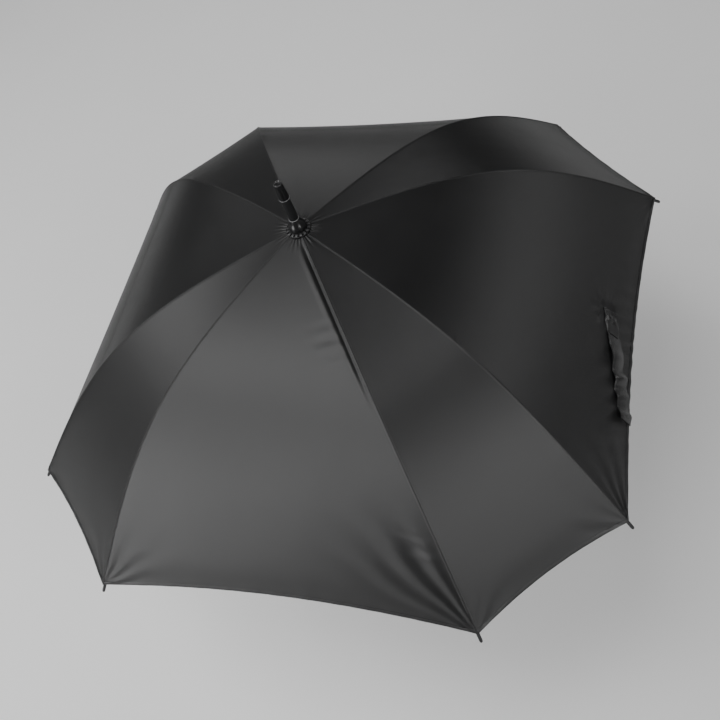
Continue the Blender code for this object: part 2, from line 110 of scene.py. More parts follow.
def canopy_profile(count=1401):
    """Arc length, radius, height from the crown and slope below level, along a rib."""
    s = np.linspace(0.0, RIB_LENGTH, count)
    rise = np.where(s < BEND_S, s / BEND_S, (RIB_LENGTH - s) / (RIB_LENGTH - BEND_S))
    bend = np.clip(rise, 0.0, 1.0) ** BEND_POWER
    step = s[1] - s[0]
    turn = np.concatenate([[0.0], np.cumsum((bend[1:] + bend[:-1]) / 2 * step)])
    slope = CROWN_SLOPE + turn * TOTAL_TURN / turn[-1]
    middle = (slope[1:] + slope[:-1]) / 2
    r = CROWN_R + np.concatenate([[0.0], np.cumsum(np.cos(middle) * step)])
    z = -np.concatenate([[0.0], np.cumsum(np.sin(middle) * step)])
    return s, r, z, slope


PROFILE = canopy_profile()


def fabric(s):
    """Radius, height and slope of the cloth over a rib at arc length s, a number or an array."""
    inside = np.clip(s, 0.0, RIB_LENGTH)
    r, z, slope = (np.interp(inside, PROFILE[0], row) for row in PROFILE[1:])
    past = s - inside
    return r + past * np.cos(slope), z - past * np.sin(slope), slope


def below(s, drop):
    """A point this far under the cloth, square to it, as (radius, height)."""
    r, z, slope = fabric(s)
    return r - drop * np.sin(slope), z - drop * np.cos(slope)


# ---- mesh helpers


def turned_to(points, azimuth, lift=CROWN_Z):
    """Points of a radial frame, +X outwards, in the row frame."""
    points = np.asarray(points, float).reshape(-1, 3)
    c, s = math.cos(azimuth), math.sin(azimuth)
    x, y, z = points.T
    return np.column_stack([c * x - s * y, s * x + c * y, z + lift])


def piece(name, points, faces, finish, body, smooth=40.0, uv=None, stands_for=(), slot=None):
    """One visible piece: a mesh in the row frame, with its finish, riding on a body."""
    mesh = bpy.data.meshes.new(name)
    mesh.from_pydata([tuple(p) for p in np.asarray(points, float)], [], [tuple(f) for f in faces])
    mesh.validate()
    if uv is not None:
        layer = mesh.uv_layers.new(name="UVMap")
        corner = np.empty(len(mesh.loops), np.int32)
        mesh.loops.foreach_get("vertex_index", corner)
        layer.data.foreach_set("uv", np.asarray(uv, np.float32)[corner].ravel())
    if smooth:
        mesh.shade_smooth()
        mesh.set_sharp_from_angle(angle=math.radians(smooth))
    item = bpy.data.objects.new(name, mesh)
    bpy.context.scene.collection.objects.link(item)
    mesh.materials.append(finish)
    if body:
        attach(item, body)
    if stands_for:
        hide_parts(*stands_for)
    return item


def radial_piece(name, shape, azimuth, *looks, **more):
    """A piece whose (points, faces) are given in a radial frame."""
    points, faces = shape
    return piece(name, turned_to(points, azimuth), faces, *looks, **more)


def strip_faces(rows, columns, wrap_columns=False, wrap_rows=False):
    """Quads over a grid of points stored row by row."""
    faces = []
    for i in range(rows if wrap_rows else rows - 1):
        for j in range(columns if wrap_columns else columns - 1):
            a = i * columns + j
            b = i * columns + (j + 1) % columns
            c = (i + 1) % rows * columns + (j + 1) % columns
            d = (i + 1) % rows * columns + j
            faces.append((a, d, c, b))
    return faces


def rounded(outline, radius, steps=4):
    """A closed outline with each corner eased by a short curve."""
    points = [np.array(p, float) for p in outline]
    eased = []
    count = len(points)
    for i, corner in enumerate(points):
        before, after = points[i - 1] - corner, points[(i + 1) % count] - corner
        first = corner + before * min(0.45, radius / max(np.linalg.norm(before), 1e-9))
        last = corner + after * min(0.45, radius / max(np.linalg.norm(after), 1e-9))
        for k in range(steps + 1):
            t = k / steps
            eased.append(tuple((1 - t) ** 2 * first + 2 * t * (1 - t) * corner + t * t * last))
    return eased


def lathe(outline, steps=64, lift=0.0):
    """Points and faces of a closed outline (radius, height) turned about the shaft."""
    outline = np.asarray(outline, float)
    turn = np.linspace(0, 2 * math.pi, steps, endpoint=False)
    points = []
    for r, z in outline:
        points.append(np.column_stack([r * np.cos(turn), r * np.sin(turn), np.full(steps, z + lift)]))
    faces = strip_faces(len(outline), steps, wrap_columns=True, wrap_rows=True)
    return np.vstack(points), faces


def loft(rings):
    """Points and faces of a closed body through rings with the same count of points."""
    count = len(rings[0])
    points = np.vstack([np.asarray(ring, float) for ring in rings])
    faces = strip_faces(len(rings), count, wrap_columns=True)
    faces.append(tuple(range(count)))
    faces.append(tuple(reversed(range((len(rings) - 1) * count, len(rings) * count))))
    return points, faces


def oval(x, z, along, half_width, half_height, side=0.0, sides=20, power=1.0):
    """A ring square to a bar in its radial plane; power below 1 squares it off."""
    length = math.hypot(*along)
    up = (-along[1] / length, along[0] / length)
    ring = []
    for k in range(sides):
        turn = 2 * math.pi * (k + 0.5) / sides
        across = math.copysign(abs(math.cos(turn)) ** power, math.cos(turn)) * half_width
        lift = math.copysign(abs(math.sin(turn)) ** power, math.sin(turn)) * half_height
        ring.append((x + up[0] * lift, side + across, z + up[1] * lift))
    return ring


def merged(parts):
    """Several (points, faces) as one."""
    points, faces, base = [], [], 0
    for some, more in parts:
        points.append(np.asarray(some, float))
        faces += [tuple(base + i for i in face) for face in more]
        base += len(some)
    return np.vstack(points), faces


def tube(path, radius, sides=6, closed=False):
    """A round thread or wire along a list of points."""
    path = np.asarray(path, float)
    if closed:
        ahead = np.roll(path, -1, 0) - np.roll(path, 1, 0)
    else:
        ahead = np.gradient(path, axis=0)
    ahead /= np.linalg.norm(ahead, axis=1)[:, None]
    guide = np.array([0.0, 0.0, 1.0])
    if abs(ahead[:, 2]).max() > 0.9:
        guide = np.array([1.0, 0.3, 0.0]) / math.hypot(1.0, 0.3)
    left = np.cross(guide, ahead)
    left /= np.linalg.norm(left, axis=1)[:, None]
    up = np.cross(ahead, left)
    turn = np.linspace(0, 2 * math.pi, sides, endpoint=False)
    points = (
        path[:, None]
        + radius * np.cos(turn)[None, :, None] * left[:, None]
        + radius * np.sin(turn)[None, :, None] * up[:, None]
    ).reshape(-1, 3)
    faces = strip_faces(len(path), sides, wrap_columns=True, wrap_rows=closed)
    if not closed:
        faces.append(tuple(range(sides)))
        faces.append(tuple(reversed(range((len(path) - 1) * sides, len(path) * sides))))
    return points, faces


def carve(item, points, faces):
    """Cuts a helper mesh out of a piece."""
    mesh = bpy.data.meshes.new("helper")
    mesh.from_pydata([tuple(p) for p in points], [], faces)
    helper = bpy.data.objects.new("helper", mesh)
    bpy.context.scene.collection.objects.link(helper)
    change = item.modifiers.new("carve", "BOOLEAN")
    change.operation = "DIFFERENCE"
    change.solver = "EXACT"
    change.object = helper
    graph = bpy.context.evaluated_depsgraph_get()
    made = bpy.data.meshes.new_from_object(item.evaluated_get(graph))
    item.modifiers.clear()
    old = item.data
    item.data = made
    made.name = item.name
    bpy.data.meshes.remove(old)
    bpy.data.objects.remove(helper)
    made.shade_smooth()
    made.set_sharp_from_angle(angle=math.radians(CORNER_SHARP))


def brick(low, high):
    """Points and outward faces of a box between two corners."""
    points = [(x, y, z) for x in (low[0], high[0]) for y in (low[1], high[1]) for z in (low[2], high[2])]
    faces = [(0, 1, 3, 2), (4, 6, 7, 5), (0, 4, 5, 1), (2, 3, 7, 6), (0, 2, 6, 4), (1, 5, 7, 3)]
    return np.array(points, float), faces


# ---- finishes


class Nodes:
    """A short way to wire a material."""

    def __init__(self, name):
        self.made = bpy.data.materials.new(name)
        self.made.use_nodes = True
        self.tree = self.made.node_tree
        self.shader = self.tree.nodes["Principled BSDF"]

    def add(self, kind, **values):
        node = self.tree.nodes.new(kind)
        for key, value in values.items():
            if key in node.inputs:
                node.inputs[key].default_value = value
            else:
                setattr(node, key, value)
        return node

    def math(self, operation, first, second=None):
        """One arithmetic step on outputs or numbers."""
        node = self.add("ShaderNodeMath", operation=operation)
        for i, value in enumerate((first, second)):
            if value is None:
                continue
            if isinstance(value, (int, float)):
                node.inputs[i].default_value = value
            else:
                self.link(value, node.inputs[i])
        return node.outputs[0]

    def link(self, source, target):
        self.tree.links.new(source, target)

    def feed(self, name, source):
        """Wires an output to one of the shader's inputs."""
        self.link(source, self.shader.inputs[name])

    def set(self, **values):
        """Sets inputs of the shader; an underscore stands for a space."""
        for key, value in values.items():
            self.shader.inputs[key.replace("_", " ")].default_value = value

    def uv(self):
        """The surface coordinates, in metres."""
        split = self.add("ShaderNodeSeparateXYZ")
        self.link(self.add("ShaderNodeUVMap", uv_map="UVMap").outputs[0], split.inputs[0])
        return split.outputs[0], split.outputs[1]

    def noise(self, scale, detail=3.0, roughness=0.5):
        """Cloudy noise fixed to the object, from 0 to 1."""
        place = self.add("ShaderNodeTexCoord").outputs["Object"]
        node = self.add("ShaderNodeTexNoise", Scale=scale, Detail=detail, Roughness=roughness)
        self.link(place, node.inputs["Vector"])
        return node.outputs["Fac"]

    def cells(self, scale):
        """Distance to the nearest of many scattered points."""
        node = self.add("ShaderNodeTexVoronoi", Scale=scale)
        self.link(self.add("ShaderNodeTexCoord").outputs["Object"], node.inputs["Vector"])
        return node.outputs["Distance"]

    def mix(self, amount, dark, light):
        """A colour between two others."""
        ramp = self.add("ShaderNodeMix", data_type="RGBA")
        self.link(amount, ramp.inputs["Factor"])
        ramp.inputs["A"].default_value = (*dark, 1.0)
        ramp.inputs["B"].default_value = (*light, 1.0)
        return ramp.outputs["Result"]

    def spread(self, amount, low, high, source_low=0.0, source_high=1.0):
        """Maps one range of values onto another."""
        node = self.add("ShaderNodeMapRange")
        self.link(amount, node.inputs["Value"])
        node.inputs["From Min"].default_value = source_low
        node.inputs["From Max"].default_value = source_high
        node.inputs["To Min"].default_value = low
        node.inputs["To Max"].default_value = high
        return node.outputs[0]

    def bump(self, height, distance, strength=1.0, after=None):
        """A normal from a height, over another bump if one is given."""
        node = self.add("ShaderNodeBump", Distance=distance, Strength=strength)
        self.link(height, node.inputs["Height"])
        if after is not None:
            self.link(after, node.inputs["Normal"])
        return node.outputs[0]


# threads are round, so cloth shines less than a flat film where it is seen aslant
CLOTH_ROUGH = (0.30, 0.36)
CLOTH_SPECULAR = 0.5
CLOTH_SHEEN = 0.01


def cloth_finish(name, dark, light, thread=0.00042, gloss=1.0, rough=1.0):
    """Close plain weave: crossing threads, slight shade changes, a soft sheen."""
    m = Nodes(name)
    u, v = m.uv()
    k = 2 * math.pi / thread
    warp = m.math("SINE", m.math("MULTIPLY", u, k))
    weft = m.math("SINE", m.math("MULTIPLY", v, k))
    weave = m.math("MULTIPLY", warp, weft)
    blotch = m.noise(9.0, 4.0, 0.6)
    fine = m.noise(900.0, 2.0)
    tone = m.math("ADD", m.math("MULTIPLY", blotch, 0.7), m.math("MULTIPLY", fine, 0.3))
    m.feed("Base Color", m.mix(m.spread(tone, 0.0, 1.0, 0.3, 0.7), dark, light))
    dull = m.spread(tone, rough * CLOTH_ROUGH[0], rough * CLOTH_ROUGH[1], 0.3, 0.7)
    m.feed("Roughness", dull)
    slant = m.add("ShaderNodeLayerWeight", Blend=0.5).outputs["Facing"]
    shine = m.spread(slant, gloss * CLOTH_SPECULAR, 0.03 * gloss * CLOTH_SPECULAR, 0.25, 0.85)
    m.feed("Specular IOR Level", shine)
    soft = m.bump(m.noise(55.0, 3.0), 0.0006, 0.25)
    m.feed("Normal", m.bump(weave, 0.00004, 0.5, soft))
    m.set(Sheen_Weight=CLOTH_SHEEN, Sheen_Roughness=0.45)
    return m.made


def plastic_finish(name, colour, rough, coat=0.0, grain=900.0, depth=0.00003):
    """Moulded plastic: faint flow marks in its gloss and a fine moulded grain."""
    m = Nodes(name)
    flow = m.noise(60.0, 3.0)
    lighter = tuple(min(1.0, c * 1.35 + 0.002) for c in colour)
    m.feed("Base Color", m.mix(flow, colour, lighter))
    m.feed("Roughness", m.spread(flow, rough * 0.85, rough * 1.2))
    m.feed("Normal", m.bump(m.noise(grain, 2.0), depth, 0.4))
    m.set(Coat_Weight=coat, Coat_Roughness=0.06)
    return m.made


def metal_finish(name, colour, rough):
    """Bright metal with faint marks drawn out along the object's height."""
    m = Nodes(name)
    place = m.add("ShaderNodeTexCoord").outputs["Object"]
    scale = m.add("ShaderNodeMapping")
    m.link(place, scale.inputs["Vector"])
    scale.inputs["Scale"].default_value = (1.0, 1.0, 30.0)
    node = m.add("ShaderNodeTexNoise", Scale=300.0, Detail=3.0)
    m.link(scale.outputs[0], node.inputs["Vector"])
    m.feed("Roughness", m.spread(node.outputs["Fac"], rough * 0.7, rough * 1.4))
    shade = tuple(c * 0.7 for c in colour)
    m.feed("Base Color", m.mix(node.outputs["Fac"], shade, colour))
    m.set(Metallic=1.0)
    return m.made


def woven_shaft_finish(name):
    """Twill of fibre bundles under clear resin, from metric surface coordinates."""
    m = Nodes(name)
    u, v = m.uv()
    cell = 0.0022
    a = m.math("DIVIDE", m.math("ADD", u, v), cell)
    b = m.math("DIVIDE", m.math("SUBTRACT", u, v), cell)
    bundle_a = m.math("ABSOLUTE", m.math("SINE", m.math("MULTIPLY", a, math.pi)))
    bundle_b = m.math("ABSOLUTE", m.math("SINE", m.math("MULTIPLY", b, math.pi)))
    over = m.math("GREATER_THAN", bundle_a, bundle_b)
    crown = m.math("MAXIMUM", bundle_a, bundle_b)
    m.feed("Base Color", m.mix(over, (0.005, 0.005, 0.0055), (0.022, 0.022, 0.023)))
    m.feed("Roughness", m.spread(over, 0.42, 0.60))
    m.feed("Normal", m.bump(crown, 0.00018, 0.7))
    m.set(Coat_Weight=0.08, Coat_Roughness=0.2, Specular_IOR_Level=0.25)
    return m.made


def grip_finish(name):
    """Soft-touch rubber with a fine pebble."""
    m = Nodes(name)
    tone = m.noise(40.0, 3.0)
    m.feed("Base Color", m.mix(tone, (0.014, 0.014, 0.015), (0.028, 0.028, 0.029)))
    m.feed("Roughness", m.spread(tone, 0.62, 0.8))
    m.feed("Normal", m.bump(m.cells(900.0), 0.0002, 0.5))
    return m.made


def loop_finish(name):
    """Hook-and-loop tape: a dense mat of tiny loops."""
    m = Nodes(name)
    mat = m.cells(1500.0)
    m.feed("Base Color", m.mix(mat, (0.006, 0.006, 0.0063), (0.024, 0.024, 0.0245)))
    m.feed("Normal", m.bump(mat, 0.0004, 0.9))
    m.set(Roughness=0.9, Sheen_Weight=0.06)
    return m.made


CANOPY = cloth_finish("canopy_cloth", (0.0085, 0.0085, 0.0088), (0.0115, 0.0115, 0.0118))
SEAM = cloth_finish("seam_cloth", (0.010, 0.010, 0.0103), (0.014, 0.014, 0.0143))
STRAP = cloth_finish("strap_cloth", (0.010, 0.010, 0.0103), (0.014, 0.014, 0.0143), 0.0006, 1.5, 0.75)
THREAD = plastic_finish("sewing_thread", (0.060, 0.060, 0.061), 0.55, grain=4000.0)
GLOSS = plastic_finish("black_gloss", (0.006, 0.006, 0.0065), 0.16, coat=0.6)
SATIN = plastic_finish("black_satin", (0.006, 0.006, 0.0065), 0.28, coat=0.3)
PLASTIC = plastic_finish("black_plastic", (0.010, 0.010, 0.011), 0.42)
# one rosette plastic in two copies: the washer darker as painted shade between the teeth, the teeth lighter
# as painted highlight on their ridges
ROSETTE_PAINTED_SHADE = plastic_finish("rosette_plastic_painted_shade", (0.004, 0.004, 0.0043), 0.42)
TEETH_PAINTED_LIGHT = plastic_finish("rosette_teeth_painted_light", (0.034, 0.034, 0.035), 0.36)
TRIM = plastic_finish("grey_trim", (0.24, 0.24, 0.245), 0.36)
WOVEN = woven_shaft_finish("woven_shaft")
RIB = plastic_finish("rib_glass_fibre", (0.012, 0.012, 0.013), 0.34, coat=0.2, grain=2500.0)
STEEL = metal_finish("zinc_wire", (0.62, 0.62, 0.60), 0.28)
COATED = plastic_finish("coated_steel", (0.014, 0.014, 0.015), 0.30, coat=0.3)
GRIP = grip_finish("soft_grip")
LOOPS = loop_finish("hook_and_loop")


# ---- canopy

# name, azimuth of its middle, half its angle, hollow of its hem
GORES = [(f"gore_wide_{i + 1}", math.pi / 2 * i, WIDE_HALF, WIDE_SAG) for i in range(4)]
GORES += [
    (f"gore_narrow_{i + 1}", math.pi / 2 * (i + 0.5), PAIR_HALF_ANGLE, NARROW_SAG) for i in range(4)
]


def wave_noise(x, seed, octaves=3):
    """Smooth one-dimensional noise in -1..1, the same on each run."""
    draw = np.random.RandomState(seed)
    total = np.zeros_like(np.asarray(x, float))
    for k in range(octaves):
        rate = 2.0 ** k * (0.8 + 0.4 * draw.rand())
        total = total + np.sin(x * rate + draw.rand() * 6.283) * 0.6 ** k
    return total / 1.96


def bell(x, width):
    """1 at x = 0, falling smoothly to nothing about two widths away."""
    return np.exp(-((x / width) ** 2))


# distances along a rib where the cloth is tied to it; the middle one is at the joint
TIE_STATIONS = (0.105, 0.215, 0.318, 0.425, 0.545)


def gore_relief(name, half, s, t, hem):
    """How far the cloth stands above the plain stretched surface, in metres."""
    seed = sum(ord(c) for c in name) % 97
    wide = half > 0.4
    r = fabric(s)[0]
    reach = r * math.sin(half)
    y = t * reach
    length_wise = np.sin(np.clip(s / RIB_LENGTH, 0, 1) * math.pi)
    # the cloth pulls in a little between its ribs, most half way down
    relief = -(0.0060 if wide else 0.0015) * (1 - t * t) * length_wise**1.5
    # the free edge turns in slightly, and is a little wavy where its stitches draw it up
    to_hem = hem - s
    relief = relief - 0.0022 * (1 - t * t) * bell(to_hem, 0.030)
    relief += 0.00035 * wave_noise(y * 130, seed + 21) * bell(to_hem, 0.014)
    for side in (-1, 1):
        edge = reach * (1 - side * t)
        rib_seed = seed * 7 + (side > 0) * 3
        # small puckers that run square to the seam where the cloth is tied to the rib
        for k, at in enumerate(TIE_STATIONS):
            at = at + 0.006 * wave_noise(np.array(k * 3.1), rib_seed)
            strength = 0.00062 * (0.75 + 0.5 * float(wave_noise(np.array(k * 5.3), rib_seed + 1)))
            if side * math.sin(seed + k * 2.3) < -0.3:
                strength *= 0.35
            ripple = np.cos(2 * math.pi * (s - at) / 0.0105 + edge * 130)
            near = bell(s - at, 0.013) * np.exp(-edge / 0.010) * np.clip(edge / 0.003, 0, 1)
            relief += strength * ripple * near
        # faint drawing-up all along the stitches
        ripple = np.sin(2 * math.pi * s / 0.009 + 2.5 * wave_noise(s * 35, rib_seed + 1))
        relief += 0.00004 * ripple * np.exp(-edge / 0.006)
        # folds that fan from the tip
        dx, dy = RIB_LENGTH - s, edge
        far = np.hypot(dx, dy)
        angle = np.arctan2(dy, np.maximum(dx, 1e-6))
        fan = np.sin(angle * (13 if wide else 10) + 1.5 * wave_noise(far * 16, rib_seed + 5))
        reach_out = np.clip(far / 0.012, 0, 1) * np.exp(-far / 0.045)
        relief += (0.0016 if wide else 0.0008) * fan * reach_out * np.clip(angle / 0.15, 0, 1)
    # gathers under the crown
    around = math.pi * t * (3.0 if wide else 1.3)
    relief += 0.00035 * np.sin(around * 2 + seed) * bell(s - 0.010, 0.020) * (1 - t * t)
    # long, very shallow tension lines
    relief += 0.00010 * wave_noise(y * 38 + s * 11, seed + 11) * length_wise
    if name == "gore_wide_4":
        relief += front_creases(s, reach * (1 - t))
    if name == "gore_wide_1":
        relief += strap_pull(s, y)
    return relief


def front_creases(s, edge):
    """The front gore is slack along its right-hand rib: a groove beside the seam, and creases from it."""
    along = np.clip((s - 0.020) / 0.05, 0, 1) * np.clip((0.345 - s) / 0.08, 0, 1)
    change = -0.0030 * bell(edge - 0.0055, 0.0040) * along
    change += 0.0005 * bell(edge - 0.0135, 0.0060) * along
    upper = np.sin((s * 0.93 - edge * 0.30) * 2 * math.pi / 0.025 + 0.8 * wave_noise(edge * 40, 5))
    change += 0.00095 * upper * bell(s - 0.222, 0.036) * bell(edge - 0.030, 0.024)
    lower = np.sin((s * 0.95 + edge * 0.42) * 2 * math.pi / 0.024 + 1.2 * wave_noise(edge * 30, 9))
    change += 0.00070 * lower * bell(s - 0.575 + 0.35 * edge, 0.030) * bell(edge - 0.030, 0.026)
    far = np.hypot(RIB_LENGTH - s, edge)
    angle = np.arctan2(edge, np.maximum(RIB_LENGTH - s, 1e-6))
    fan = np.sin(angle * 15 + 1.3 * wave_noise(far * 11, 3))
    between = np.clip(angle / 0.2, 0, 1) * np.clip((1.45 - angle) / 0.4, 0, 1)
    change += 0.0013 * fan * bell(far - 0.110, 0.070) * between
    return change


def strap_pull(s, y):
    """What the sewn end of the strap does to the cloth round it."""
    change = -0.0014 * bell(y - 0.024 - 0.10 * (s - 0.60), 0.0035) * bell(s - 0.617, 0.030)
    star = np.hypot(s - 0.605, y - 0.018)
    spokes = np.sin(np.arctan2(s - 0.605, y - 0.018) * 9 + 1.0)
    change += 0.0013 * spokes * bell(star - 0.020, 0.014)
    drag = np.sin(2 * math.pi * (y - s * 0.35) / 0.030 + 1.5 * wave_noise(y * 20, 31))
    change += 0.0014 * drag * bell(s - 0.655, 0.030) * bell(y + 0.06, 0.13)
    return change


def gore_points(name, half, s, t, hem, depth=0.0):
    """Points of a gore in its own radial frame, for arrays s and t of one shape."""
    r, z, slope = fabric(s)
    middle = np.arctan2(np.tan(slope), math.cos(half))
    relief = gore_relief(name, half, s, t, hem) - depth
    x = r * math.cos(half) + relief * np.sin(middle)
    y = t * r * math.sin(half)
    return np.stack([x, y, z + relief * np.cos(middle)], -1)


def hem_at(t, sag):
    """Distance from the crown to the free edge, hollowed between the ribs."""
    return RIB_LENGTH - sag * (1 - t * t)


def spaced(count, crowd):
    """Positions across a gore from -1 to 1, closer together towards the seams."""
    even = np.linspace(-1, 1, count)
    return (1 - crowd) * even + crowd * np.sin(even * math.pi / 2)


def squash_gore(item):
    """Gives a piece that rides on a gore its own copy of its mesh."""
    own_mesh(item)


def sheet_solid(top, under, rows, columns):
    """A closed sheet from two grids of points."""
    count = rows * columns
    points = np.vstack([top.reshape(-1, 3), under.reshape(-1, 3)])
    faces = [tuple(reversed(f)) for f in strip_faces(rows, columns)]
    faces += [tuple(count + i for i in f) for f in strip_faces(rows, columns)]
    ring = list(range(columns))
    ring += [i * columns + columns - 1 for i in range(1, rows)]
    ring += [(rows - 1) * columns + j for j in range(columns - 2, -1, -1)]
    ring += [i * columns for i in range(rows - 2, 0, -1)]
    for a, b in zip(ring, ring[1:] + ring[:1]):
        faces.append((a, count + a, count + b, b))
    return points, faces


def make_gore(name, azimuth, half, sag):
    """Both halves of one gore, and the hem along its free edge."""
    columns = 91 if half > 0.4 else 49
    across = spaced(columns, 0.55)
    hem = hem_at(across, sag)
    for part, rows in (("inner", 66), ("outer", 78)):
        down = np.linspace(0, 1, rows)[:, None]
        if part == "inner":
            s = down * JOINT_S + 0 * across[None]
        else:
            s = JOINT_S + down * (hem[None] - JOINT_S)
        t = np.broadcast_to(across[None], s.shape)
        top = gore_points(name, half, s, t, hem[None])
        under = gore_points(name, half, s, t, hem[None], CLOTH)
        sheet = sheet_solid(top, under, rows, columns)
        reach = t * fabric(s)[0] * math.sin(half)
        uv = np.tile(np.stack([reach, s], -1).reshape(-1, 2), (2, 1))
        body = f"{name}_{part}"
        cloth = radial_piece(f"{body}_cloth", sheet, azimuth, CANOPY, body,
                             smooth=60.0, uv=uv, stands_for=(body,), slot="canopy_cloth")
        squash_gore(cloth)
    make_hem(name, azimuth, half, sag)


def make_hem(name, azimuth, half, sag):
    """A narrow rolled hem with its line of stitches."""
    columns = 121 if half > 0.4 else 61
    across = np.linspace(-0.995, 0.995, columns)
    hem = hem_at(across, sag)
    section = (
        (-0.0062, 0.00002), (-0.0060, 0.00030), (-0.0030, 0.00042), (-0.0006, 0.00040),
        (0.0004, 0.00010), (0.0004, -0.0006), (-0.0006, -0.00085), (-0.0058, -0.0008), (-0.0062, -0.0005),
    )
    rows = [gore_points(name, half, hem + along, across, hem, -rise) for along, rise in section]
    reach = across * fabric(hem)[0] * math.sin(half)
    uv = [(reach[j], 0.0007 * k) for j in range(columns) for k in range(len(section))]
    band = radial_piece(f"{name}_hem", loft(np.stack(rows, 1)), azimuth, SEAM, f"{name}_outer",
                        smooth=50.0, uv=uv, slot="canopy_cloth")
    squash_gore(band)
    count = int(2 * fabric(RIB_LENGTH)[0] * math.sin(half) / STITCH)
    at = (np.arange(4, count - 3)[:, None] + np.array([0.14, 0.5, 0.86])) / count * 2 - 1
    line = hem_at(at, sag)
    paths = gore_points(name, half, line - 0.0048, at, line, -0.00042)
    thread = merged([tube(path, 0.00016, 4) for path in paths])
    sewn = radial_piece(f"{name}_hem_stitches", thread, azimuth, THREAD, f"{name}_outer",
                        slot="canopy_cloth")
    squash_gore(sewn)


for gore in GORES:
    make_gore(*gore)


# ---- seams along the ribs


def rib_neighbours(number):
    """The half angles of the gores on each side of a rib, at lower and at higher azimuth."""
    first_of_pair = number % 2 == 0
    return (WIDE_HALF, PAIR_HALF_ANGLE) if first_of_pair else (PAIR_HALF_ANGLE, WIDE_HALF)


def seam_point(number, s, away, rise):
    """A point on the cloth beside a rib: away is negative towards lower azimuths."""
    lower, higher = rib_neighbours(number)
    half = lower if away < 0 else higher
    r, z, slope = fabric(s)
    middle = math.atan2(math.tan(slope), math.cos(half))
    distance = abs(away)
    side = math.copysign(1.0, away) if away else 0.0
    x = r - distance * math.sin(half) + rise * math.sin(middle) * math.cos(half)
    y = side * (distance * math.cos(half) + abs(rise * math.sin(middle) * math.sin(half)))
    return (x, y, z + rise * math.cos(middle))


SEAM_SECTION = (
    (-0.0027, -0.0002), (-0.0026, 0.00016), (-0.0012, 0.00024), (-0.0007, 0.00030), (-0.0005, 0.00078),
    (0.0, 0.00095), (0.0005, 0.00080), (0.0008, 0.00016), (0.0024, 0.00014), (0.0025, -0.0002),
    (0.0, -0.0008),
)


def make_seam(number, azimuth):
    """The felled seam over one rib, with a stitch line on each side."""
    for part, start, end in (("inner", 0.006, JOINT_S), ("outer", JOINT_S, RIB_LENGTH - 0.0005)):
        steps = 90
        rings = []
        for i in range(steps + 1):
            s = start + (end - start) * i / steps
            swell = 1 + 0.12 * float(wave_noise(np.array(s * 150.0), number * 5 + 1))
            rings.append([seam_point(number, s, a * swell, h) for a, h in SEAM_SECTION])
        uv = [(0.0006 * k, start + (end - start) * i / steps) for i in range(steps + 1) for k in range(11)]
        name, body = f"seam_{number + 1}_{part}", f"rib_{part}_{number + 1}"
        radial_piece(name, loft(rings), azimuth, SEAM, body, smooth=55.0, uv=uv, slot="canopy_cloth")
        stitches = []
        for i in range(2, int((end - start) / STITCH) - 1):
            for away, lift in ((-0.0019, 0.00024), (0.0018, 0.00020)):
                places = [start + (i + step) * STITCH for step in (0.12, 0.5, 0.88)]
                stitches.append(tube([seam_point(number, s, away, lift) for s in places], 0.00012, 4))
        radial_piece(f"{name}_stitches", merged(stitches), azimuth, THREAD, body, slot="canopy_cloth")


for number, azimuth in enumerate(RIB_AZIMUTHS):
    make_seam(number, azimuth)


# ---- crown and ferrule


def turned_piece(name, outline, finish, body, lift=0.0, stands_for=(), steps=96, ease=0.0004, slot=None):
    """A solid of revolution about the shaft with its corners eased."""
    outline = rounded(outline, ease)
    points, faces = lathe(outline, steps, lift)
    run = np.concatenate([[0], np.cumsum(np.hypot(*np.diff(np.array(outline), axis=0).T))])
    around = np.linspace(0, 2 * math.pi, steps, endpoint=False) * SHAFT_R
    uv = [(a, r) for r in run for a in around]
    return piece(name, points, faces, finish, body, uv=uv, stands_for=stands_for, slot=slot)


def make_ferrule():
    """A tapered cup over the shaft's end, hollowed a little at its top."""
    ring, high = FERRULE_LOW, FERRULE_HIGH
    outline = [
        (BORE_R, ring), (0.0084, ring), (0.0086, ring + 0.0010), (0.0084, ring + 0.0080),
        (0.0077, ring + 0.0200), (0.0070, high - 0.0018), (0.0068, high - 0.0005), (0.0063, high),
        (0.0057, high - 0.0001), (0.0052, high - 0.0012), (0.0044, high - 0.0022), (0.0004, high - 0.0024),
        (0.0004, 0.0801), (BORE_R, 0.0800),
    ]
    turned_piece("ferrule_cap_shell", outline, GLOSS, "shaft", CROWN_Z, ("ferrule_cap",),
                 slot="black_gloss")
    bright_ring("ferrule_ring", 0.0085, CROWN_Z + ring)


def bright_ring(name, radius, height):
    """A narrow pale ring between two turned pieces."""
    half = 0.00032
    inner, outer = radius - 0.0006, radius + 0.0001
    outline = [(inner, height - half), (outer, height - half), (radius + 0.00035, height),
               (outer, height + half), (inner, height + half)]
    turned_piece(name, outline, TRIM, "shaft", ease=0.0001)


def make_dome():
    """A bell: a short neck over broad, rounded shoulders."""
    wall = [(0.0137, 0.0), (0.0147, 0.0010), (0.0150, 0.0028), (0.0148, 0.0048), (0.0141, 0.0072),
            (0.0130, 0.0096), (0.0117, 0.0120), (0.0106, 0.0143), (0.0098, 0.0165), (0.0091, 0.0186),
            (0.0086, 0.0202), (0.0083, 0.0210), (0.0081, 0.0212)]
    outline = [(BORE_R, DOME_LOW)] + [(r, DOME_LOW + h) for r, h in wall] + [(BORE_R, DOME_HIGH)]
    turned_piece("crown_dome_shell", outline, SATIN, "shaft", CROWN_Z, ("crown_dome",), slot="black_gloss",
                 ease=0.0012)
    bright_ring("dome_ring", 0.0082, CROWN_Z + DOME_HIGH + 0.0001)


